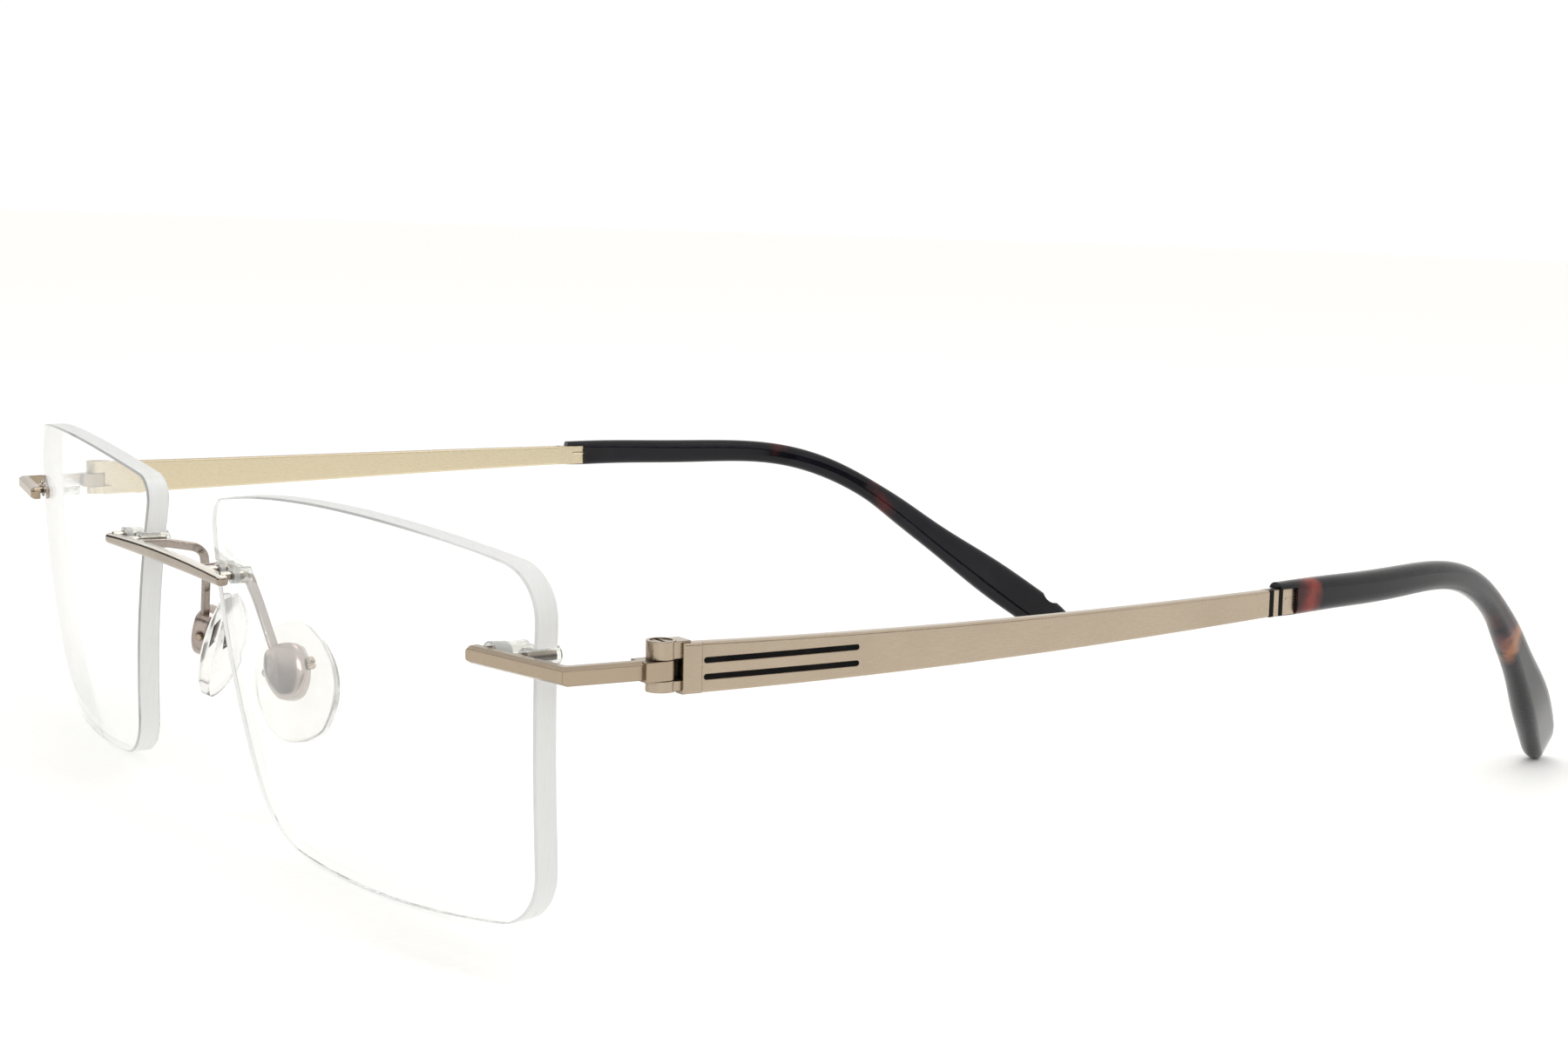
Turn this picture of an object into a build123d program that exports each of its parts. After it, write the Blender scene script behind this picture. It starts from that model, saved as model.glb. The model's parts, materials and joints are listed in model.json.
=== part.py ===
from build123d import *
import math
import os

# Rimless eyeglasses, all sizes in millimetres.
# The parts are laid out in the wearer's frame: X to the wearer's left, Y backwards along the
# temples, Z up, with the origin midway between the two hinges. STAND then tips the whole pair
# onto the table it stands on, with the origin under the middle of its box.

# ---- overall ------------------------------------------------------------------------------
HINGE_X = 69.05            # hinge axis, each side of the middle
STAND_TILT = 1.02          # degrees the temples rise towards the back on a table

# ---- lenses -------------------------------------------------------------------------------
LENS_NOSE_X = 10.0         # nose edge of the lens at hinge height
LENS_NOSE_Y = -13.96
LENS_WIDTH = 53.2
LENS_WRAP = 6.5            # degrees
LENS_TILT = 1.5            # degrees, lower edge nearer the face
LENS_THICK = 2.2
BASE_RADIUS = 132.0        # four dioptre base curve
LENS_MID = 26.4            # centre of the base curve, from the nose edge
LENS_EDGE_BREAK = 0.18

# ---- bridge and endpieces -----------------------------------------------------------------
BRIDGE_HALF = 15.95
BRIDGE_Y = -15.45
BRIDGE_Z = 0.0
BRIDGE_TALL = 1.35
BRIDGE_END_TALL = 1.05
BRIDGE_ARCH = 0.25         # the middle of the bar stands this much higher than its ends
BRIDGE_DEEP = 1.15
BAR_TALL = 1.45
BAR_DEEP = 1.05
BAR_Z = -0.32
CORNER = (68.75, -8.4)     # outer corner of the endpiece, seen from above
BAR_NOSE_END = (56.8, -10.6)
PEG_R = 0.4
PEG_NOSE_Z = 0.35          # the pegs sit a little above the bars' middle lines
PEG_TEMPLE_Z = -0.05
SLEEVE_R = 0.75
SLEEVE_GAP = 0.03
PEG_GAP = 0.02
SLEEVE_TIE = 0.6
PEG_TAIL = 0.4
SLEEVE_TAIL = 0.75         # length behind the lens
PEG_NOSE = (10.9, 15.0)    # notch peg and hole peg of the bridge
PEG_TEMPLE = (61.85, 58.0) # notch peg and hole peg of the endpiece

# ---- hinge --------------------------------------------------------------------------------
BARREL_R = 1.2
BARREL_TOP = 1.9
BARREL_LOW = -2.15
MID_TOP = 0.38
MID_LOW = -1.20
KNUCKLE_GAP = 0.05
SCREW_R = 0.6
SCREW_HUG = 0.02           # clearance where the screw turns with the temple
SCREW_HEAD_R = 0.9
SCREW_HEAD_TALL = 0.5
RUN_CLEAR = 0.04

# ---- temples ------------------------------------------------------------------------------
TEMPLE_FRONT = 1.3
TEMPLE_THICK = 1.1
PLATE_END = 3.0            # smooth front plate, slightly proud of the blade
PLATE_PROUD = 0.22
PLATE_ROUND = 0.2
METAL_END = 65.2           # end of the flat metal, where the black bands start
BAND_WIDE = 0.6
BAND_GAP = 0.7
BAND_DEPTH = 0.75          # the bands wrap the outer face only, to this depth
FERRULE_END = 68.9
TEMPLE_BOW_R = 354.0
TEMPLE_BOW_MID = 29.3      # where the temples are widest apart
TEMPLE_BOW_OUT = 71.32
TIP_PLAN_START = 68.0
TIP_PLAN_R = 150.0
GROOVE_Z = (0.2, -1.14)
GROOVE_START = 3.2
GROOVE_END = 17.6
GROOVE_WIDE = 0.46
GROOVE_DEEP = 0.28
INLAY_SUNK = 0.04

# ---- tips ---------------------------------------------------------------------------------
BEND_START = 91.3
BEND_R = 34.0
BEND_ANGLE = 38.3
TIP_LEVEL = 0.22           # middle of the tip where it closes round the temple
TIP_SINK = 0.009           # drop per millimetre from there to the bend
TIP_LENGTH = 145.2         # along the temple's middle line, from the hinge
NOTCH_AT = 140.4           # shallow notch in the upper edge, near the end
NOTCH_R = 1.5
NOTCH_OUT = 3.35           # from the tip's middle line to the notch's centre
CORE_R = 0.55              # wire inside the tip
CORE_GAP = 0.05
CORE_LENGTH = 118.0

# ---- nose pads ----------------------------------------------------------------------------
PAD_SPLAY = 48.0           # pad plane from the front plane, degrees
PAD_LEAN = 18.0            # lower end of the pad further from the nose, degrees
PAD_ROLL = 15.0            # top of the pad turned forwards in its own plane, degrees
BOX_FACE = (12.6, -7.2, -9.5)
BOX_OUT = 2.35
BOX_RIM = 0.5
BOX_WIDE = 3.9
BOX_TALL = 5.5
PAD_WIDE = 7.4
PAD_TALL = 11.8
PAD_THICK = 2.0
PAD_FACE_R = 20.0
PIVOT_Z = 1.15
PIVOT_Y = 0.35
PAD_SCREW_R = 0.35


def lens_place(side_x=LENS_NOSE_X):
    """Lens frame: x towards the temple, y backwards, z up, at the nose edge."""
    return Pos(side_x, LENS_NOSE_Y, 0) * Rot(0, 0, LENS_WRAP) * Rot(LENS_TILT, 0, 0)


def lens_outline():
    """Rounded lens shape in the lens frame's x, z plane."""
    top_nose = (-1.7, 6.6)
    top_temple = (LENS_WIDTH + 0.3, 6.7)
    low_temple = (LENS_WIDTH - 2.3, -22.9)
    low_nose = (8.4, -24.0)
    top = ThreePointArc(top_nose, (25, 9.2), top_temple)
    outer = ThreePointArc(top_temple, (LENS_WIDTH - 0.6, -9.5), low_temple)
    low = ThreePointArc(low_temple, (29, -24.9), low_nose)
    inner = ThreePointArc(low_nose, (3.0, -9.5), top_nose)
    face = make_face(Curve() + [top, outer, low, inner])
    corners = {top_nose: 2.6, top_temple: 4.6, low_temple: 6.5, low_nose: 8.5}
    for spot, radius in corners.items():
        corner = face.vertices().sort_by_distance((spot[0], spot[1], 0))[0]
        face = fillet(corner, radius)
    return face


def lens_blank():
    """Lens before drilling: the outline cut from a curved shell of even thickness."""
    outline = Plane.XZ * lens_outline()
    prism = extrude(outline, 8, both=True)
    bulge = LENS_MID ** 2 / (2 * BASE_RADIUS)
    centre = Pos(LENS_MID, BASE_RADIUS - bulge, 0)
    shell = centre * (Sphere(BASE_RADIUS) - Sphere(BASE_RADIUS - LENS_THICK))
    lens = prism & shell
    rims = [e for e in lens.edges() if e.length > 0.5 and abs(e.tangent_at(0.5).Y) < 0.9]
    return chamfer(rims, LENS_EDGE_BREAK)


def peg(x, z, radius, front, back):
    """Round peg or hole along Y."""
    return Pos(x, front, z) * Rot(-90, 0, 0) * Cylinder(
        radius, back - front, align=(Align.CENTER, Align.CENTER, Align.MIN)
    )


def lens_front_y(x):
    """Front of the lens at hinge height, as a function of x."""
    along = (x - LENS_NOSE_X) / math.cos(math.radians(LENS_WRAP))
    bulge = (LENS_MID ** 2 - (along - LENS_MID) ** 2) / (2 * BASE_RADIUS)
    chord = LENS_NOSE_Y + along * math.sin(math.radians(LENS_WRAP))
    return chord - bulge * math.cos(math.radians(LENS_WRAP))


def lens_cuts(pegs, z):
    """Drilled hole, and the notch that opens into the lens edge."""
    notch_x, hole_x = pegs
    outward = -6 if notch_x < LENS_NOSE_X + LENS_MID else 6
    reach = SLEEVE_R + SLEEVE_GAP
    slot = Pos(notch_x + outward / 2, LENS_NOSE_Y, z) * Box(abs(outward), 30, 2 * reach)
    cuts = peg(hole_x, z, reach, -25, 5) + peg(notch_x, z, reach, -25, 5) + slot
    return cuts


def lens_left():
    lens = lens_place() * lens_blank()
    return lens - lens_cuts(PEG_NOSE, PEG_NOSE_Z) - lens_cuts(PEG_TEMPLE, PEG_TEMPLE_Z)


def sleeve(pegs, z):
    """Clear double barrel bush, with a tie plate on the back of the lens."""
    lens_backs = [lens_front_y(x) + LENS_THICK for x in pegs]
    rear = max(lens_backs) + SLEEVE_TAIL
    low_x, high_x = sorted(pegs)
    body = Pos((low_x + high_x) / 2, rear - SLEEVE_TIE / 2, z) * Box(high_x - low_x, SLEEVE_TIE, 1.1)
    for x in pegs:
        body += peg(x, z, SLEEVE_R, lens_front_y(x) - 0.1, rear)
    for x in pegs:
        body -= peg(x, z, PEG_R + PEG_GAP, -25, 5)
    return body


def bridge_bar():
    """Slightly arched bar with rounded ends, and the pegs that hold the lenses."""
    half = BRIDGE_HALF
    end = BRIDGE_END_TALL / 2
    rise = BRIDGE_TALL / 2 + BRIDGE_ARCH
    sink = BRIDGE_ARCH - BRIDGE_TALL / 2
    edges = [
        ThreePointArc((-half, end), (0, rise), (half, end)),
        Line((half, end), (half, -end)),
        ThreePointArc((half, -end), (0, sink), (-half, -end)),
        Line((-half, -end), (-half, end)),
    ]
    face = make_face(Curve() + edges)
    face = fillet(face.vertices(), 0.8 * end)
    bar = extrude(Plane.XZ * face, BRIDGE_DEEP / 2, both=True)
    rims = [e for e in bar.edges() if abs(e.center().Y) > BRIDGE_DEEP / 2 - 0.01]
    bar = Pos(0, BRIDGE_Y, BRIDGE_Z) * fillet(rims, 0.4)
    for side in (1, -1):
        for x in PEG_NOSE:
            rear = lens_front_y(x) + LENS_THICK + PEG_TAIL
            bar += peg(side * x, PEG_NOSE_Z, PEG_R, BRIDGE_Y, rear)
    return bar


def pad_frame():
    """Pad frame: x along the pad's width, y up the pad, z out towards the lens."""
    splay = math.radians(PAD_SPLAY)
    lean = math.radians(PAD_LEAN)
    roll = math.radians(PAD_ROLL)
    out = Vector(
        math.cos(lean) * math.sin(splay),
        -math.cos(lean) * math.cos(splay),
        math.sin(lean),
    )
    level = Vector(math.cos(splay), math.sin(splay), 0)
    across = level * math.cos(roll) + out.cross(level) * math.sin(roll)
    return Plane(origin=Vector(*BOX_FACE) - out * BOX_OUT, x_dir=across, z_dir=out)


def egg(wide, tall, low_share, top_share):
    """Egg outline, widest at y = 0; top_share is the share of the width kept at the top."""
    low = -tall * low_share
    high = tall * (1 - low_share)
    top_corner = (wide * top_share / 2, high * 0.8)
    low_corner = (wide * 0.26, low * 0.9)
    arcs = [
        ThreePointArc((-top_corner[0], top_corner[1]), (0, high), top_corner),
        ThreePointArc(top_corner, (wide / 2, 0), low_corner),
        ThreePointArc(low_corner, (0, low), (-low_corner[0], low_corner[1])),
        ThreePointArc((-low_corner[0], low_corner[1]), (-wide / 2, 0), (-top_corner[0], top_corner[1])),
    ]
    face = make_face(Curve() + arcs)
    return fillet(face.vertices(), wide * 0.2)


def pad_box_blank():
    """The pad box before its hollow, in the pad frame: wide above, narrow below."""
    outline = egg(BOX_WIDE, BOX_TALL, 0.6, 0.8)
    return Pos(0, 0.5, BOX_RIM) * extrude(outline, BOX_OUT - BOX_RIM)


def pad_box():
    """Closed metal box that holds the pad's boss."""
    body = pad_box_blank()
    face_rim = body.edges().group_by(Axis.Z)[-1]
    body = fillet(face_rim, 0.5)
    room = Pos(0, PIVOT_Y, BOX_RIM) * Box(
        2.0, 3.2, 1.5, align=(Align.CENTER, Align.CENTER, Align.MIN)
    )
    bore = Pos(0, PIVOT_Y, PIVOT_Z) * Rot(0, 90, 0) * Cylinder(PAD_SCREW_R + 0.015, 9)
    return pad_frame().location * (body - room - bore)


def pad_screw():
    """Small slotted screw across the box."""
    shank = Rot(0, 90, 0) * Cylinder(PAD_SCREW_R, BOX_WIDE + 0.7)
    head = Pos(BOX_WIDE / 2 + 0.32, 0, 0) * Rot(0, 90, 0) * Cylinder(0.62, 0.5)
    head = fillet(head.edges().group_by(Axis.X)[-1], 0.15)
    slot = Pos(BOX_WIDE / 2 + 0.6, 0, 0) * Box(0.35, 0.2, 1.4)
    screw = Pos(0, PIVOT_Y, PIVOT_Z) * (shank + head - slot)
    return pad_frame().location * screw


def nose_pad():
    """Soft oval pad, domed on both faces, with the boss that its screw passes through."""
    outline = egg(PAD_WIDE, PAD_TALL, 0.36, 0.66)
    slab = Pos(0, -2.4, -PAD_THICK) * extrude(outline, PAD_THICK)
    ball = Pos(0, -0.8, PAD_FACE_R - PAD_THICK) * Sphere(PAD_FACE_R)
    pad = slab & ball
    rear_rim = pad.edges().group_by(Axis.Z)[-1]
    pad = fillet(rear_rim, 0.3)
    boss = Pos(0, PIVOT_Y, -0.3) * Box(1.7, 2.4, 1.95, align=(Align.CENTER, Align.CENTER, Align.MIN))
    boss = fillet(boss.edges().filter_by(Axis.X).group_by(Axis.Z)[-1], 0.5)
    bore = Pos(0, PIVOT_Y, PIVOT_Z) * Rot(0, 90, 0) * Cylinder(PAD_SCREW_R + 0.05, 9)
    return pad_frame().location * (pad + (boss - bore))


def pad_arm():
    """Flat wire from the back of the bridge bar to the top of the pad box."""
    root = (9.3, BRIDGE_Y, 0.2)
    run = (8.4, -12.0, 0.2)
    elbow = (7.2, -8.7, -0.35)
    knee = (8.4, -8.0, -3.4)
    drop = (10.7, -7.3, -8.0)
    path = FilletPolyline(root, run, elbow, knee, drop, radius=[2.2, 1.5, 2.5])
    start = Plane(origin=path @ 0, x_dir=(0, 0, 1), z_dir=path % 0)
    wire = sweep(start * RectangleRounded(0.9, 0.55, 0.2), path)
    return wire - bridge_bar() - pad_frame().location * pad_box_blank()


def bar_middle_y(x):
    """Middle line of the endpiece's front run, seen from above."""
    slope = (CORNER[1] - BAR_NOSE_END[1]) / (CORNER[0] - BAR_NOSE_END[0])
    return BAR_NOSE_END[1] + (x - BAR_NOSE_END[0]) * slope


def is_outer_edge(edge):
    """True for a long edge on the side of the endpiece that faces the world."""
    middle = edge.center()
    if edge.length < 5:
        return False
    if middle.X < CORNER[0] - 1:
        return middle.Y < bar_middle_y(middle.X)
    return middle.X > CORNER[0] + 0.4


def endpiece_bar():
    """Front run and side run of the bar, mitred at the corner and bevelled above."""
    run = Polyline(BAR_NOSE_END, CORNER, (HINGE_X + 0.3, -1.5))
    bar = extrude(trace(run, BAR_DEEP), BAR_TALL / 2, both=True)
    nose = [
        e for e in bar.edges()
        if e.center().X < BAR_NOSE_END[0] + 0.2 and abs(e.tangent_at(0.5).Z) < 0.1
    ]
    bar = fillet(nose, 0.5)
    upper = [e for e in bar.edges() if e.center().Z > BAR_TALL / 2 - 0.01]
    bar = chamfer([e for e in upper if is_outer_edge(e)], 0.4, 0.25)
    return Pos(0, 0, BAR_Z) * bar


def endpiece_left():
    """Endpiece with its hinge knuckle and the two pegs that hold the lens."""
    middle = (MID_TOP + MID_LOW) / 2
    tall = MID_TOP - MID_LOW
    block = Pos(HINGE_X, -1.0, middle) * Box(2 * BARREL_R, 2.0, tall)
    barrel = Pos(HINGE_X, 0, middle) * Cylinder(BARREL_R, tall)
    body = endpiece_bar() + block + barrel
    for x in PEG_TEMPLE:
        rear = lens_front_y(x) + LENS_THICK + PEG_TAIL
        body += peg(x, PEG_TEMPLE_Z, PEG_R, bar_middle_y(x), rear)
    return body - Pos(HINGE_X, 0, 0) * Cylinder(SCREW_R + RUN_CLEAR, 12)


def temple_outer_x(y):
    """Outer face of the temple, seen from above: a shallow bow, then the turned-in tip."""
    centre_x = TEMPLE_BOW_OUT - TEMPLE_BOW_R
    if y <= TIP_PLAN_START:
        return centre_x + math.sqrt(TEMPLE_BOW_R ** 2 - (y - TEMPLE_BOW_MID) ** 2)
    join_x = temple_outer_x(TIP_PLAN_START)
    share = (TEMPLE_BOW_R - TIP_PLAN_R) / TEMPLE_BOW_R
    tip_x = centre_x + (join_x - centre_x) * share
    tip_y = TEMPLE_BOW_MID + (TIP_PLAN_START - TEMPLE_BOW_MID) * share
    return tip_x + math.sqrt(TIP_PLAN_R ** 2 - (y - tip_y) ** 2)


def plan_band(front, back, outer, inner):
    """Slab between two copies of the bowed outer face, over a stretch of the temple."""
    middle = (front + back) / 2
    ys = (front, middle, back)
    out = [(temple_outer_x(y) - outer, y) for y in ys]
    into = [(temple_outer_x(y) - inner, y) for y in ys]
    face = make_face(
        Curve()
        + [
            ThreePointArc(*out),
            Line(out[2], into[2]),
            ThreePointArc(into[2], into[1], into[0]),
            Line(into[0], out[0]),
        ]
    )
    return extrude(face, 10, both=True)


def side_slab(points_top, points_low):
    """Side outline of the temple between a top and a bottom edge, thick in X."""
    top = Spline(*points_top)
    low = Spline(*points_low)
    ends = [
        Line(points_top[-1], points_low[-1]),
        Line(points_low[0], points_top[0]),
    ]
    face = make_face(Curve() + [top, low] + ends)
    return Pos(HINGE_X - 12, 0, 0) * extrude(Plane.YZ * face, 30)


def tip_path(s):
    """Middle line of the temple at a distance s from the hinge."""
    bend = math.radians(BEND_ANGLE)
    arc = BEND_R * bend
    if s <= BEND_START:
        y, drop, angle = s, 0.0, 0.0
    elif s <= BEND_START + arc:
        angle = (s - BEND_START) / BEND_R
        y = BEND_START + BEND_R * math.sin(angle)
        drop = BEND_R * (1 - math.cos(angle))
    else:
        rest = s - BEND_START - arc
        angle = bend
        y = BEND_START + BEND_R * math.sin(bend) + rest * math.cos(bend)
        drop = BEND_R * (1 - math.cos(bend)) + rest * math.sin(bend)
    x = temple_outer_x(y) - TEMPLE_THICK / 2
    sink = TIP_SINK * max(0, min(y, BEND_START) - FERRULE_END)
    return Vector(x, y, TIP_LEVEL - sink - drop)


def temple_metal():
    """Flat tapering blade, and the smooth plate at its front end."""
    top = [(TEMPLE_FRONT, 1.7), (24, 1.34), (47, 1.24), (METAL_END, 1.2)]
    low = [(TEMPLE_FRONT, -2.4), (24, -2.2), (47, -1.72), (METAL_END, -1.3)]
    slab = side_slab(top, low)
    blade = slab & plan_band(TEMPLE_FRONT, METAL_END, 0, TEMPLE_THICK)
    long_edges = [e for e in blade.edges() if e.length > 40]
    blade = fillet(long_edges, 0.2)
    plate = slab & plan_band(TEMPLE_FRONT, PLATE_END, -PLATE_PROUD, 0.5)
    outer = plate.faces().sort_by(Axis.X)[-1]
    plate = fillet(outer.edges(), PLATE_ROUND)
    return blade + plate


def temple_knuckles():
    """Upper and lower hinge knuckles, each with a web to the blade."""
    top_mid = (BARREL_TOP + MID_TOP + KNUCKLE_GAP) / 2
    low_mid = (BARREL_LOW + MID_LOW - KNUCKLE_GAP) / 2
    pieces = Part()
    for mid, low, high in (
        (top_mid, MID_TOP + KNUCKLE_GAP, BARREL_TOP),
        (low_mid, BARREL_LOW, MID_LOW - KNUCKLE_GAP),
    ):
        pieces += Pos(HINGE_X, 0, mid) * Cylinder(BARREL_R, high - low)
        web = Pos(HINGE_X + 0.1, 1.3, mid) * Box(1.9, 1.6, high - low - 0.1)
        pieces += web
    return pieces


def temple_end():
    """Spacer between the bands, plain inner face, and the plate that the tip closes round."""
    first = METAL_END + BAND_WIDE
    second = first + BAND_GAP
    third = second + BAND_WIDE
    spacer = end_slice(first, second, 0.0)
    plate = end_slice(third, FERRULE_END, 0.02)
    core = end_slice(METAL_END - 0.5, FERRULE_END, 0.3)
    inner_face = end_slice(METAL_END - 0.01, third, 0.0)
    inner_face &= plan_band(METAL_END - 1, third + 1, BAND_DEPTH + 0.01, TEMPLE_THICK + 1)
    return spacer + plate + core + inner_face


def end_slice(front, back, shrink):
    """Short length of the temple end, smaller all round by shrink."""
    top = 1.2 - shrink
    low = -1.3 + shrink
    slab = Pos(HINGE_X, (front + back) / 2, (top + low) / 2) * Box(20, back - front, top - low)
    return slab & plan_band(front, back, shrink, TEMPLE_THICK - shrink)


def core_wire(radius):
    """Round wire along the middle of the tip."""
    stations = [FERRULE_END - 1.5 + i * (CORE_LENGTH - FERRULE_END) / 6 for i in range(7)]
    path = Spline(*[tip_path(s) for s in stations])
    start = Plane(origin=path @ 0, z_dir=path % 0)
    return sweep(start * Circle(radius), path)


def grooves(deep, wide, shorten):
    """Two straight slots in the outer face."""
    length = GROOVE_END - GROOVE_START - 2 * shorten
    middle = (GROOVE_START + GROOVE_END) / 2
    cuts = Part()
    for z in GROOVE_Z:
        slot = Plane.YZ * Pos(middle, z) * SlotOverall(length, wide)
        cuts += Pos(HINGE_X - 5, 0, 0) * extrude(slot, 20)
    skin = plan_band(GROOVE_START - 1, GROOVE_END + 1, deep[0], deep[1])
    return cuts & skin


def temple_left():
    body = temple_metal() + temple_knuckles() + temple_end() + core_wire(CORE_R)
    body -= grooves((-3, GROOVE_DEEP), GROOVE_WIDE, 0)
    body -= Pos(HINGE_X, 0, 0) * Cylinder(SCREW_R + SCREW_HUG, 12)
    body -= Pos(HINGE_X, 0, BARREL_TOP) * Cylinder(SCREW_HEAD_R + SCREW_HUG, 2 * SCREW_HEAD_TALL)
    return body


def temple_inlays():
    """Enamel in the two slots, a little below the metal."""
    return grooves((INLAY_SUNK, GROOVE_DEEP - 0.01), GROOVE_WIDE - 0.02, 0.01)


def temple_bands():
    """Two black bands round the outer face of the metal's end."""
    first = METAL_END
    second = METAL_END + BAND_WIDE + BAND_GAP
    bands = []
    for front in (first, second):
        ring = end_slice(front + 0.01, front + BAND_WIDE - 0.01, 0.0)
        hole = end_slice(front - 1, front + BAND_WIDE + 1, 0.28)
        outside = plan_band(front - 1, front + BAND_WIDE + 1, -1, BAND_DEPTH)
        bands += ((ring - hole) & outside).solids()
    return Part(children=bands)


def hinge_screw():
    """Slotted screw, dropped in from above."""
    up = (Align.CENTER, Align.CENTER, Align.MIN)
    seat = BARREL_TOP - SCREW_HEAD_TALL + 0.02
    shank = Pos(0, 0, BARREL_LOW + 0.05) * Cylinder(SCREW_R, seat - BARREL_LOW, align=up)
    head = Pos(0, 0, seat) * Cylinder(SCREW_HEAD_R, SCREW_HEAD_TALL - 0.1, align=up)
    slot = Pos(0, 0, BARREL_TOP - 0.1) * Box(3, 0.28, 0.4)
    return Pos(HINGE_X, 0, 0) * (shank + head - slot)


def temple_tip():
    """Moulded tip: lofted through rounded sections, widest near its lower end."""
    stations = [
        (FERRULE_END - 2.3, 3.2, 1.5),
        (FERRULE_END + 1.5, 3.3, 1.9),
        (78, 3.2, 2.2),
        (90, 3.05, 2.3),
        (98, 2.9, 2.3),
        (106, 2.85, 2.3),
        (113, 3.0, 2.4),
        (120, 3.7, 2.6),
        (128, 4.7, 2.8),
        (136, 5.4, 2.8),
        (141, 5.2, 2.5),
        (144, 3.9, 1.9),
        (TIP_LENGTH, 2.0, 0.9),
    ]
    sections = []
    for s, tall, thick in stations:
        here = tip_path(s)
        ahead = tip_path(min(s + 0.5, TIP_LENGTH + 1))
        across = Vector(1, 0, 0)
        forward = (ahead - here).normalized()
        flat = (across - forward * across.dot(forward)).normalized()
        plane = Plane(origin=here, x_dir=flat, z_dir=forward)
        sections.append(plane * RectangleRounded(thick, tall, thick * 0.46))
    tip = loft(sections)
    mouth = plan_band(FERRULE_END - 6, FERRULE_END + 0.02, -3, 5)
    mouth &= Pos(HINGE_X, FERRULE_END - 3, -0.05) * Box(30, 10, 2.54)
    here = tip_path(NOTCH_AT)
    forward = (tip_path(NOTCH_AT + 0.5) - here).normalized()
    upward = Vector(1, 0, 0).cross(forward).normalized()
    notch_plane = Plane(origin=here + upward * NOTCH_OUT, z_dir=upward.cross(forward))
    notch = notch_plane * Cylinder(NOTCH_R, 12)
    return tip - mouth - notch - core_wire(CORE_R + CORE_GAP)


def stand():
    """Tips the layout onto the table and centres it."""
    tilt = Rot(STAND_TILT, 0, 0)
    lens = (tilt * lens_left()).bounding_box()
    tip = (tilt * temple_tip()).bounding_box()
    front = (tilt * bridge_bar()).bounding_box().min.Y
    print("lens bottom", lens.min.Z, "tip bottom", tip.min.Z)
    low = min(lens.min.Z, tip.min.Z)
    middle = (front + tip.max.Y) / 2
    return Pos(0, -middle, -low) * tilt


def main():
    os.makedirs("parts", exist_ok=True)
    place = stand()
    pairs = {
        "lens": lens_left(),
        "bridge_sleeve": sleeve(PEG_NOSE, PEG_NOSE_Z),
        "endpiece_sleeve": sleeve(PEG_TEMPLE, PEG_TEMPLE_Z),
        "pad_arm": pad_arm(),
        "pad_box": pad_box(),
        "pad_screw": pad_screw(),
        "nose_pad": nose_pad(),
        "endpiece": endpiece_left(),
        "hinge_screw": hinge_screw(),
        "temple": temple_left(),
        "groove_inlays": temple_inlays(),
        "end_bands": temple_bands(),
        "temple_tip": temple_tip(),
    }
    for name, shape in pairs.items():
        export_step(place * shape, f"parts/{name}_left.step")
        export_step(place * mirror(shape, about=Plane.YZ), f"parts/{name}_right.step")
    export_step(place * bridge_bar(), "parts/bridge_bar.step")
    hinge = place * Pos(HINGE_X, 0, 0)
    print("hinge", hinge.position)


main()
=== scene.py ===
# %% [markdown]
# Rimless eyeglasses, finished in Blender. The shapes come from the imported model: lenses, bridge
# bar, endpieces, temples, pads and screws are all in place and in metres. What is left is what
# the eye reads first: clear lenses with a ground edge, satin champagne metal, black enamel in
# the grooves, soft clear pads, and dark mottled tips.

# %% Load the frame
import json
import math
import bpy
from mathutils import Matrix, Vector


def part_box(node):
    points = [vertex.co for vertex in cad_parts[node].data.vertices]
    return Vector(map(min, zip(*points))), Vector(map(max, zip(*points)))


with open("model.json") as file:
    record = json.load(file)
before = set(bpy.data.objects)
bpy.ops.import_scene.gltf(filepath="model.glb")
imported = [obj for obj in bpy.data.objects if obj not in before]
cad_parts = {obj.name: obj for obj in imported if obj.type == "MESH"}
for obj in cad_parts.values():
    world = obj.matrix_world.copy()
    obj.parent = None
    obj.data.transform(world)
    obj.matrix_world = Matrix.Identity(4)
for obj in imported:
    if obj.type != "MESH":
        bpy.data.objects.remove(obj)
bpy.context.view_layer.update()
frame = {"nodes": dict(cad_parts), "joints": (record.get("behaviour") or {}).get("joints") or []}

# %% [markdown]
# Every finish below is a small graph of shader nodes. A few helpers keep the graphs short. The
# first adds a node and fills in its sockets, the second starts a material and hands back its
# Principled shader, and the third connects two sockets. Constants are typed straight into the
# shader's own sockets.

# %% Helpers that add nodes
def add(material, kind, inputs=None, **settings):
    node = material.node_tree.nodes.new(kind)
    for name, value in settings.items():
        setattr(node, name, value)
    for name, value in (inputs or {}).items():
        if isinstance(value, bpy.types.NodeSocket):
            material.node_tree.links.new(value, node.inputs[name])
        else:
            node.inputs[name].default_value = value
    return node


def start(name, **sockets):
    material = bpy.data.materials.new(name)
    material.use_nodes = True
    shader = material.node_tree.nodes["Principled BSDF"]
    for socket, value in sockets.items():
        shader.inputs[socket.replace("_", " ")].default_value = value
    return material, shader


def join(material, output, socket):
    material.node_tree.links.new(output, socket)


# %% [markdown]
# The next helpers shape numbers and colours: a colour ramp, two ways to map one range of numbers
# onto another, a blend and a product of two colours, noise that can be drawn out along an axis,
# and one component of the surface normal. The last one dresses the parts in a material.

# %% Helpers that shape values
def ramp(material, factor, stops):
    """Colour ramp with (position, colour) stops."""
    node = add(material, "ShaderNodeValToRGB", {"Fac": factor})
    elements = node.color_ramp.elements
    while len(elements) < len(stops):
        elements.new(0.5)
    for element, (position, colour) in zip(elements, stops):
        element.position = position
        element.color = (*colour, 1)
    return node.outputs["Color"]


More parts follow.
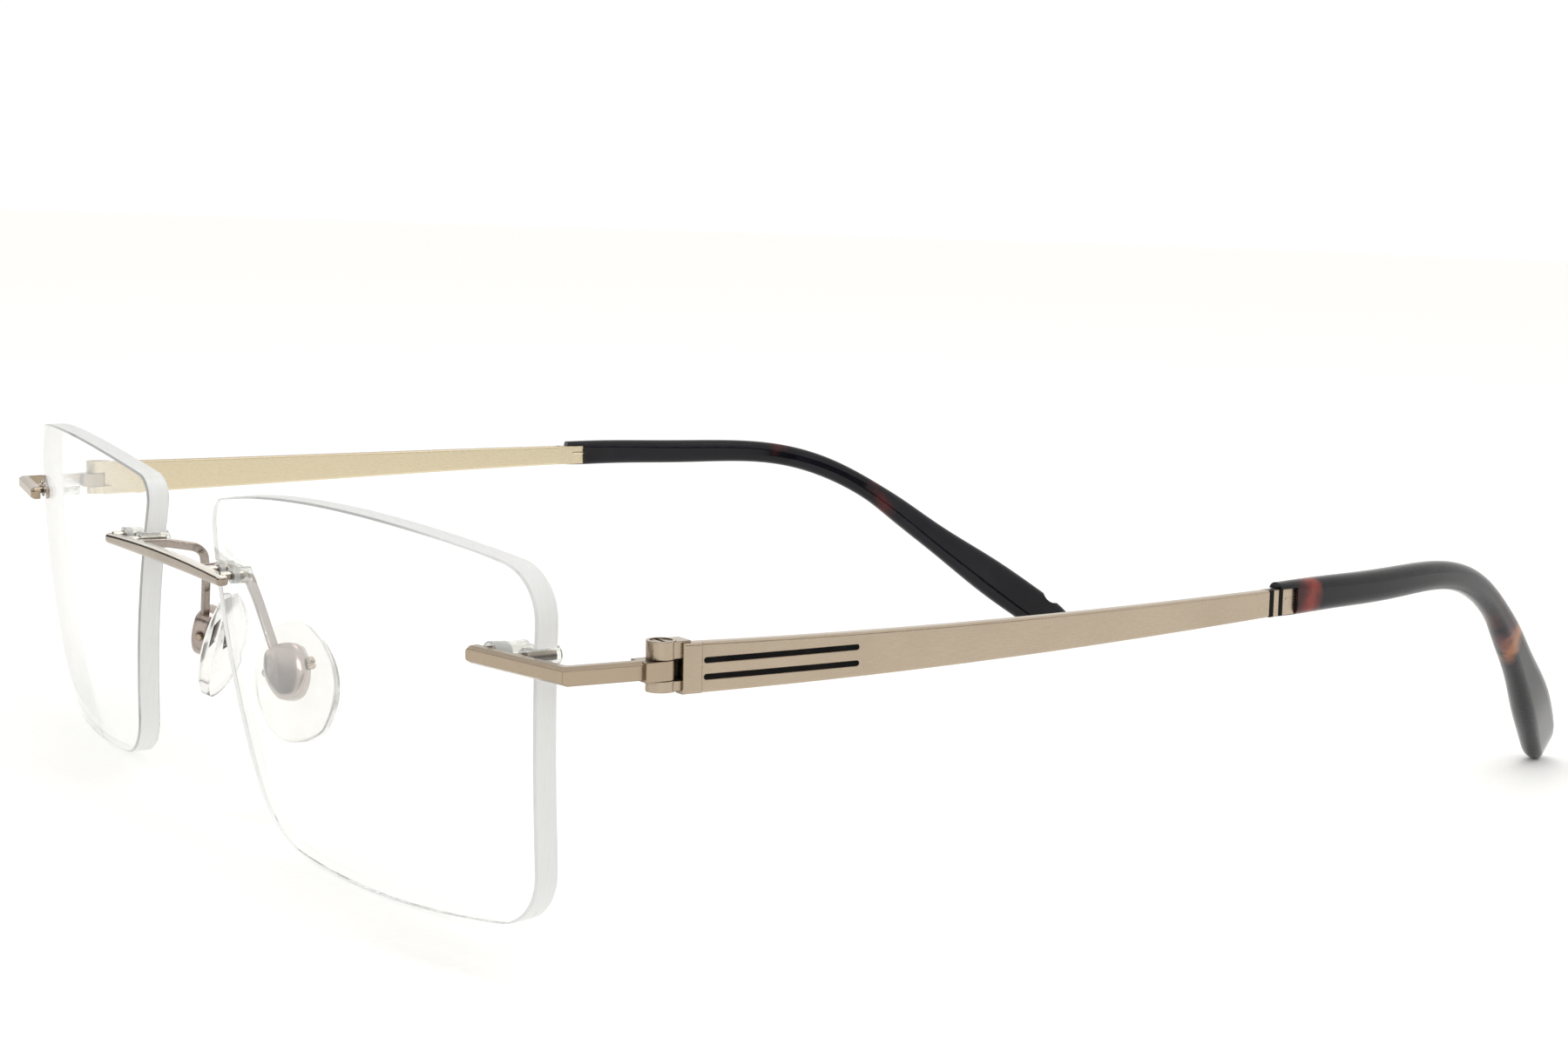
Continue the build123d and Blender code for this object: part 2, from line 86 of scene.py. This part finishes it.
def spread(material, value, low, high):
    """Maps 0 to 1 onto low to high."""
    node = add(material, "ShaderNodeMapRange", {"Value": value, "To Min": low, "To Max": high})
    return node.outputs["Result"]


def between(material, value, start_at, full_at):
    """0 where the value is start_at, 1 where it is full_at, and held beyond them."""
    node = add(
        material, "ShaderNodeMapRange", {"Value": value, "From Min": start_at, "From Max": full_at}
    )
    return node.outputs["Result"]


def blend(material, factor, first, second):
    """Goes from the first colour to the second as the factor rises."""
    node = add(material, "ShaderNodeMix", {"Factor": factor, 6: first, 7: second}, data_type="RGBA")
    return node.outputs[2]


def noise(material, stretch, scale, detail=3.0):
    """Noise in the object's own space, drawn out along its axes by stretch."""
    place = add(material, "ShaderNodeTexCoord").outputs["Object"]
    mapping = add(material, "ShaderNodeMapping", {"Vector": place, "Scale": stretch})
    cloud = add(
        material, "ShaderNodeTexNoise",
        {"Vector": mapping.outputs["Vector"], "Scale": scale, "Detail": detail},
    )
    return cloud.outputs["Fac"]


def times(material, first, second):
    """Multiplies two colours."""
    node = add(
        material, "ShaderNodeMix", {"Factor": 1.0, 6: first, 7: second},
        data_type="RGBA", blend_type="MULTIPLY",
    )
    return node.outputs[2]


def normal_along(material, axis):
    """One component of the surface normal, in the object's own space."""
    normal = add(material, "ShaderNodeTexCoord").outputs["Normal"]
    return add(material, "ShaderNodeSeparateXYZ", {"Vector": normal}).outputs[axis]


def dress(material, *names):
    """Puts a material on the left and right nodes of each name."""
    for name in names:
        for side in ("", "_left", "_right"):
            part = frame["nodes"].get(name + side)
            if part is None:
                continue
            for slot in part.material_slots:
                slot.material = material
    print(material.name, "on", names)


# %% [markdown]
# The metal is flat alloy strip, brushed lengthways and plated a pale champagne. A brushed
# surface is thousands of parallel scratches: noise squeezed across the strip and drawn
# out along it gives them, first as a change in roughness, then as a very shallow bump. The
# shader's anisotropy stretches the highlight across the scratches, as on the real strip. An
# ambient occlusion node finds the narrow gaps round the hinge, and painted shade darkens the
# colour there. Where the rounded normal and the flat one disagree there is a hard edge, and a
# thin brown line of painted dark reflection is drawn along it.

# %% A recipe for brushed metal
SCRATCH_DEPTH = 0.00002
GAP_REACH = 0.0007
PAINTED_GAP_SHADE = (0.12, 0.10, 0.08)
PAINTED_EDGE_REFLECTION = (0.36, 0.29, 0.23)
WHITE = (1, 1, 1)


def brushed(name, pale, deep, smooth, rough, along, bump, rounding=0.0001):
    material, shader = start(name, Metallic=1.0, Anisotropic=0.45)
    grain = noise(material, along, 1.0, 4.0)
    clouds = noise(material, (1, 1, 1), 90.0, 2.0)
    tone = add(
        material, "ShaderNodeMath", {0: grain, 1: clouds}, operation="MULTIPLY"
    ).outputs["Value"]
    plated = ramp(material, tone, [(0.1, deep), (0.42, pale)])
    # Painted shade: the colour is darkened in the narrow gaps that the ambient occlusion node finds.
    open_sky = add(material, "ShaderNodeAmbientOcclusion", {"Distance": GAP_REACH}, samples=6)
    painted_gap_shade = ramp(material, open_sky.outputs["AO"], [(0.25, PAINTED_GAP_SHADE), (0.8, WHITE)])
    toned = times(material, plated, painted_gap_shade)
    join(material, spread(material, grain, smooth, rough), shader.inputs["Roughness"])
    soft = add(material, "ShaderNodeBevel", {"Radius": rounding}, samples=6).outputs["Normal"]
    flat = add(material, "ShaderNodeNewGeometry").outputs["True Normal"]
    agree = add(
        material, "ShaderNodeVectorMath", {0: soft, 1: flat}, operation="DOT_PRODUCT"
    ).outputs["Value"]
    # Painted dark reflection: a thin brown line along the hard edges.
    arris = ramp(material, agree, [(0.86, PAINTED_EDGE_REFLECTION), (0.975, WHITE)])
    join(material, times(material, toned, arris), shader.inputs["Base Color"])
    scratch = add(
        material, "ShaderNodeBump",
        {"Height": grain, "Strength": bump, "Distance": SCRATCH_DEPTH, "Normal": soft},
    )
    join(material, scratch.outputs["Normal"], shader.inputs["Normal"])
    return material


def paint_reflection(material, factor, colour):
    """Lays a painted reflection over a metal's own colour, as far as the factor says."""
    base = material.node_tree.nodes["Principled BSDF"].inputs["Base Color"]
    own = base.links[0].from_socket
    join(material, blend(material, factor, own, (*colour, 1)), base)


# %% [markdown]
# The bridge bar and the endpieces are cut along the top. Their upper facets, found by the Z of
# the normal, carry a painted reflection: a bright painted highlight on the bridge, and on the
# endpieces a painted dark reflection, deeper than the front.
# The scratches run along X here, because the bars do.

# %% Bridge bar and endpieces
ALONG_FRONT = (900, 16000, 16000)
champagne_front = brushed(
    "champagne_front", (0.45, 0.36, 0.265), (0.37, 0.295, 0.215), 0.18, 0.26, ALONG_FRONT, 0.08
)
bridge_metal = brushed(
    "champagne_bridge", (0.42, 0.355, 0.29), (0.30, 0.25, 0.20), 0.14, 0.22, ALONG_FRONT, 0.08
)
# Painted reflection on the upper facets: a bright painted highlight on the bridge, a darker painted
# reflection on the endpieces.
for metal, painted_top_reflection in (
    (champagne_front, (0.34, 0.27, 0.20)),
    (bridge_metal, (0.80, 0.75, 0.68)),
):
    paint_reflection(metal, between(metal, normal_along(metal, "Z"), 0.3, 0.6), painted_top_reflection)
dress(champagne_front, "endpiece")
dress(bridge_metal, "bridge_bar")

# %% [markdown]
# The inner face of each temple is painted brighter and creamier than the outer face, a painted
# reflection of the bright room. The surface normal tells which face is which: on the left temple
# the inner face looks towards minus X, on the right towards plus X. The normal is taken in the
# temple's own space, so the faces keep their painted tones when the temple folds.

# %% Temples, with a painted pale reflection on the inner face
ALONG_TEMPLE = (16000, 900, 16000)
PALE = (0.50, 0.41, 0.315)
DEEP = (0.42, 0.345, 0.262)
PAINTED_INNER_REFLECTION = (0.74, 0.64, 0.45)
for side, inward in (("_left", -1.0), ("_right", 1.0)):
    metal = brushed("champagne_brushed" + side, PALE, DEEP, 0.22, 0.31, ALONG_TEMPLE, 0.08)
    sideways = normal_along(metal, "X")
    # Painted reflection: the inner face is painted a brighter cream.
    paint_reflection(metal, between(metal, sideways, 0.45 * inward, 0.75 * inward), PAINTED_INNER_REFLECTION)
    dress(metal, "temple" + side)

# %% [markdown]
# The pad arms and pad boxes are a rosier, more polished plate. On these small parts and on the
# screws the grain is fine and has no one direction, so the noise isn't drawn out. The same recipe
# serves with other numbers. The box looks domed, so its shading is rounded over a wider radius.

# %% Arm and screw metal
FINE_ALL_ROUND = (5000, 5000, 5000)
rose_plate = brushed(
    "rose_plate", (0.48, 0.41, 0.375), (0.38, 0.315, 0.285), 0.04, 0.09, FINE_ALL_ROUND, 0.04,
    rounding=0.0007,
)
arm_plate = brushed(
    "arm_plate", (0.40, 0.345, 0.305), (0.27, 0.23, 0.205), 0.12, 0.2, FINE_ALL_ROUND, 0.08
)
turned = brushed(
    "turned_screw", (0.55, 0.45, 0.35), (0.34, 0.27, 0.20), 0.18, 0.34, FINE_ALL_ROUND, 0.3
)
dress(rose_plate, "pad_box")
dress(arm_plate, "pad_arm")
dress(turned, "pad_screw", "hinge_screw")

# %% [markdown]
# The two grooves in each temple and the two bands before each tip are filled with black
# enamel. Enamel is glossy but never quite flat: a slow ripple in the bump and a slight change
# of roughness keep its reflection alive.

# %% Black enamel
enamel, enamel_shader = start(
    "black_enamel", Specular_IOR_Level=0.05, Coat_Weight=0.03, Coat_Roughness=0.08
)
ripple = noise(enamel, (1, 1, 1), 700.0, 2.0)
join(
    enamel, ramp(enamel, ripple, [(0.3, (0.002, 0.002, 0.002)), (0.75, (0.007, 0.006, 0.006))]),
    enamel_shader.inputs["Base Color"],
)
join(enamel, spread(enamel, ripple, 0.16, 0.34), enamel_shader.inputs["Roughness"])
enamel_bump = add(enamel, "ShaderNodeBump", {"Height": ripple, "Strength": 0.2, "Distance": 0.00003})
join(enamel, enamel_bump.outputs["Normal"], enamel_shader.inputs["Normal"])
dress(enamel, "groove_inlays", "end_bands")

# %% [markdown]
# A rimless lens shows itself by its edge. The faces are polished and nearly invisible, while
# the edge is ground with a wheel and left satin, so it gathers a soft, pale grey. The surface
# normal tells the two apart: faces look forwards or backwards along Y, and the edge looks
# sideways. The edge is part satin surface and part Translucent, so light from outside comes
# through it softly and it never goes black, and its narrow bevels are drawn in a darker grey.
# A glass that light should pass through casts a shadow that is too dark unless the shadow rays
# are let through, so most of each shadow ray is mixed with a Transparent shader.

# %% Clear lens with a ground edge
def see_through(material, surface, share):
    """Lets a share of the light through in shadows, and connects the surface."""
    rays = add(material, "ShaderNodeLightPath").outputs["Is Shadow Ray"]
    amount = add(material, "ShaderNodeMath", {0: rays, 1: share}, operation="MULTIPLY")
    clear = add(material, "ShaderNodeBsdfTransparent").outputs["BSDF"]
    mixed = add(material, "ShaderNodeMixShader", {"Fac": amount.outputs["Value"], 1: surface, 2: clear})
    output = material.node_tree.nodes["Material Output"]
    join(material, mixed.outputs["Shader"], output.inputs["Surface"])


lens, lens_shader = start("clear_lens", IOR=1.5, Transmission_Weight=1.0, Roughness=0.0)
film = noise(lens, (1, 1, 1), 28.0, 2.0)
join(
    lens, ramp(lens, film, [(0.3, (0.985, 0.992, 0.985)), (0.7, (0.995, 0.998, 0.995))]),
    lens_shader.inputs["Base Color"],
)
facing = add(
    lens, "ShaderNodeMath", {0: normal_along(lens, "Y")}, operation="ABSOLUTE"
).outputs["Value"]
wheel_marks = noise(lens, (300, 9000, 300), 1.0, 3.0)
satin = ramp(lens, wheel_marks, [(0.32, (0.95, 0.955, 0.95)), (0.6, (0.99, 0.992, 0.99))])
arris = ramp(lens, facing, [(0.35, WHITE), (0.6, (0.82, 0.835, 0.83))])
ground = times(lens, satin, arris)
edge = add(lens, "ShaderNodeBsdfPrincipled", {"Base Color": ground, "IOR": 1.5})
join(lens, spread(lens, wheel_marks, 0.2, 0.4), edge.inputs["Roughness"])
glow = add(lens, "ShaderNodeBsdfTranslucent", {"Color": ground}).outputs["BSDF"]
edge_mix = add(lens, "ShaderNodeMixShader", {"Fac": 0.5, 1: edge.outputs["BSDF"], 2: glow})
on_face = between(lens, facing, 0.6, 0.88)
both = add(
    lens, "ShaderNodeMixShader",
    {"Fac": on_face, 1: edge_mix.outputs["Shader"], 2: lens_shader.outputs["BSDF"]},
)
see_through(lens, both.outputs["Shader"], 0.93)
dress(lens, "lens")

# %% [markdown]
# The bushes that hold the pegs in the lenses are clear nylon, and the pads are clear silicone:
# softer and faintly warm. Both are moulded, so both get fine noise in their roughness and a very
# low bump, and one recipe serves for the two.

# %% Clear bushes and pads
def clear_moulding(name, low, high, smooth, rough, ior, share, transmission):
    material, shader = start(name, IOR=ior, Transmission_Weight=transmission)
    haze = noise(material, (1, 1, 1), 420.0, 3.0)
    join(material, ramp(material, haze, [(0.3, low), (0.7, high)]), shader.inputs["Base Color"])
    join(material, spread(material, haze, smooth, rough), shader.inputs["Roughness"])
    bump = add(material, "ShaderNodeBump", {"Height": haze, "Strength": 0.12, "Distance": 0.00002})
    join(material, bump.outputs["Normal"], shader.inputs["Normal"])
    see_through(material, shader.outputs["BSDF"], share)
    return material


nylon = clear_moulding(
    "clear_nylon", (0.86, 0.86, 0.82), (0.96, 0.96, 0.93), 0.06, 0.2, 1.5, 0.8, 0.95
)
silicone = clear_moulding(
    "clear_silicone", (0.90, 0.89, 0.865), (0.965, 0.96, 0.94), 0.05, 0.12, 1.41, 0.75, 0.97
)
dress(nylon, "bridge_sleeve", "endpiece_sleeve")
dress(silicone, "nose_pad")

# %% [markdown]
# The tips are cut from dark smoke acetate with a few red, plum and amber clouds in it. The
# clouds sit where the sheet's streaks cross the tip, so their places along the tip are given,
# and noise bends their outline and breaks them up across it. A clear coat over a slightly
# uneven base gives the deep polish.

# %% Places of the acetate's colours
tip_low, tip_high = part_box("temple_tip_left")
TIP_FRONT = tip_low[1]
TIP_RUN = tip_high[1] - tip_low[1]
print("tip runs back", round(TIP_RUN * 1000, 1), "mm")

SMOKE = (0.007, 0.007, 0.011)
CHAR = (0.0025, 0.0025, 0.004)
RED = (0.20, 0.032, 0.022)
DARK_RED = (0.06, 0.010, 0.010)
PLUM = (0.075, 0.028, 0.036)
AMBER = (0.30, 0.125, 0.06)
# Each colour stands at a share of the tip's length, counted from its front.
LEFT_STREAKS = [
    (0.0, CHAR), (0.032, CHAR), (0.042, DARK_RED), (0.058, RED), (0.066, RED), (0.082, SMOKE),
    (0.30, CHAR), (0.56, SMOKE), (0.58, PLUM), (0.60, DARK_RED), (0.63, SMOKE), (0.65, PLUM),
    (0.668, AMBER), (0.68, AMBER), (0.70, SMOKE), (0.9, CHAR),
]
RIGHT_STREAKS = [
    (0.0, SMOKE), (0.40, CHAR), (0.44, DARK_RED), (0.455, SMOKE), (0.60, CHAR),
    (0.63, DARK_RED), (0.655, SMOKE), (0.9, CHAR),
]

# %% [markdown]
# One recipe serves both tips, with the left tip's list of colours or the right tip's. The body
# is near black, and the streaks show only where a second noise is strong, so each becomes a
# broken cloud and not a ring.

# %% Tips
def mottled(name, colours):
    material, shader = start(
        name, Specular_IOR_Level=0.16, Coat_Weight=0.22, Coat_Roughness=0.04, IOR=1.49
    )
    where = add(material, "ShaderNodeTexCoord").outputs["Object"]
    back = add(material, "ShaderNodeSeparateXYZ", {"Vector": where}).outputs["Y"]
    along_tip = between(material, back, TIP_FRONT, TIP_FRONT + TIP_RUN)
    bend = spread(material, noise(material, (1, 1, 1), 230.0), -0.035, 0.035)
    streak = add(
        material, "ShaderNodeMath", {0: along_tip, 1: bend}, operation="ADD"
    ).outputs["Value"]
    patch = noise(material, (1, 1, 1), 330.0, 2.0)
    strength = between(material, patch, 0.38, 0.56)
    body = ramp(material, noise(material, (1, 0.4, 1), 160.0), [(0.35, CHAR), (0.7, SMOKE)])
    mottle = blend(material, strength, body, ramp(material, streak, colours))
    join(material, mottle, shader.inputs["Base Color"])
    polish = noise(material, (1, 1, 1), 900.0)
    join(material, spread(material, polish, 0.10, 0.22), shader.inputs["Roughness"])
    bump = add(material, "ShaderNodeBump", {"Height": polish, "Strength": 0.06, "Distance": 0.00003})
    join(material, bump.outputs["Normal"], shader.inputs["Normal"])
    return material


dress(mottled("mottled_acetate_left", LEFT_STREAKS), "temple_tip_left")
dress(mottled("mottled_acetate_right", RIGHT_STREAKS), "temple_tip_right")

# %% [markdown]
# The glasses stand on a plain white table, lit from all round, as product pictures are. The
# table is one large sheet, so its far edge is out of sight, and its colour has a trace of
# noise.

# %% Table
TABLE = 6.0
table_mesh = bpy.data.meshes.new("table")
corners = [(-TABLE, -TABLE, 0), (TABLE, -TABLE, 0), (TABLE, TABLE, 0), (-TABLE, TABLE, 0)]
table_mesh.from_pydata(corners, [], [(0, 1, 2, 3)])
table = bpy.data.objects.new("table", table_mesh)
bpy.context.scene.collection.objects.link(table)
paper, paper_shader = start("white_paper", Roughness=0.75)
fibre = noise(paper, (1, 1, 1), 900.0, 4.0)
join(
    paper, ramp(paper, fibre, [(0.3, (0.945, 0.943, 0.935)), (0.7, (0.965, 0.963, 0.955))]),
    paper_shader.inputs["Base Color"],
)
table_mesh.materials.append(paper)
print("table is", 2 * TABLE, "m wide")

# %% [markdown]
# The even light comes from all round, a little warm. Two narrow strip lamps, one overhead and one
# at the front, draw the crisp highlights on the black tips.

# %% Soft light
world = bpy.data.worlds.new("studio")
bpy.context.scene.world = world
world.use_nodes = True
world.node_tree.nodes["Background"].inputs["Color"].default_value = (1.0, 0.995, 0.975, 1)
world.node_tree.nodes["Background"].inputs["Strength"].default_value = 1.04


def lamp(name, place, aim, size, watts):
    light = bpy.data.lights.new(name, "AREA")
    light.shape = "RECTANGLE"
    light.size, light.size_y = size
    light.energy = watts
    holder = bpy.data.objects.new(name, light)
    holder.location = place
    holder.rotation_euler = (Vector(aim) - Vector(place)).to_track_quat("-Z", "Y").to_euler()
    bpy.context.scene.collection.objects.link(holder)


lamp("overhead", (0.15, 0.05, 0.85), (0, 0, 0), (0.06, 0.7), 1.6)
lamp("front", (0.7, -0.5, 0.45), (0, 0, 0.02), (0.5, 0.05), 0.7)

print("lamps:", [light.name for light in bpy.data.lights])

# %% [markdown]
# Polished things show the room, not the lamp. Long dark cards stand to the sides, where this
# camera doesn't see them, so that the metal's rounded edges pick up thin dark lines. The last
# card stands where the pad boxes are reflected, so they show both dark and bright.

# %% Dark cards
card_paint, card_shader = start("dark_card", Roughness=0.9)
dust = noise(card_paint, (1, 1, 1), 60.0, 2.0)
join(
    card_paint, ramp(card_paint, dust, [(0.3, (0.02, 0.018, 0.016)), (0.7, (0.035, 0.03, 0.027))]),
    card_shader.inputs["Base Color"],
)


def card(name, centre, wide, tall, turn):
    mesh = bpy.data.meshes.new(name)
    half = wide / 2
    mesh.from_pydata(
        [(-half, 0, 0), (half, 0, 0), (half, 0, tall), (-half, 0, tall)], [], [(0, 1, 2, 3)]
    )
    mesh.materials.append(card_paint)
    sheet = bpy.data.objects.new(name, mesh)
    sheet.location = centre
    sheet.rotation_euler = (0, 0, math.radians(turn))
    bpy.context.scene.collection.objects.link(sheet)


card("card_front", (-0.1, -0.95, 0.0), 1.5, 0.30, 0)
card("card_side", (1.0, 0.35, 0.0), 1.2, 0.28, 90)
card("card_left", (-1.0, -0.5, 0.0), 0.8, 0.30, 90)
card("card_pads", (0.30, -0.60, 0.0), 0.34, 0.25, 25)

# %% [markdown]
# The camera stands at the wearer's front left, a little above the hinges, and looks across
# both lenses along the temples. It hangs a little off level, so its roll is set as well.

# %% Camera
hinge = Vector(frame["joints"][0]["pos_m"])
CAMERA_FROM_HINGE_LINE = (0.23506, -0.09987, 0.03536)
CAMERA_YAW = 56.23
CAMERA_PITCH = 7.03
CAMERA_ROLL = 2.10
camera_data = bpy.data.cameras.new("camera")
camera_data.lens = 57.5
camera_data.sensor_width = 36.0
camera_data.clip_start = 0.01
camera_data.dof.use_dof = False
camera = bpy.data.objects.new("camera", camera_data)
place = Vector((0, hinge.y, hinge.z)) + Vector(CAMERA_FROM_HINGE_LINE)
turn = (
    Matrix.Rotation(math.radians(CAMERA_YAW), 4, "Z")
    @ Matrix.Rotation(math.radians(90 - CAMERA_PITCH), 4, "X")
    @ Matrix.Rotation(math.radians(CAMERA_ROLL), 4, "Z")
)
camera.matrix_world = Matrix.Translation(place) @ turn
bpy.context.scene.collection.objects.link(camera)
bpy.context.scene.camera = camera
bpy.context.scene.view_settings.view_transform = "Standard"
print("camera at", [round(v, 4) for v in place])
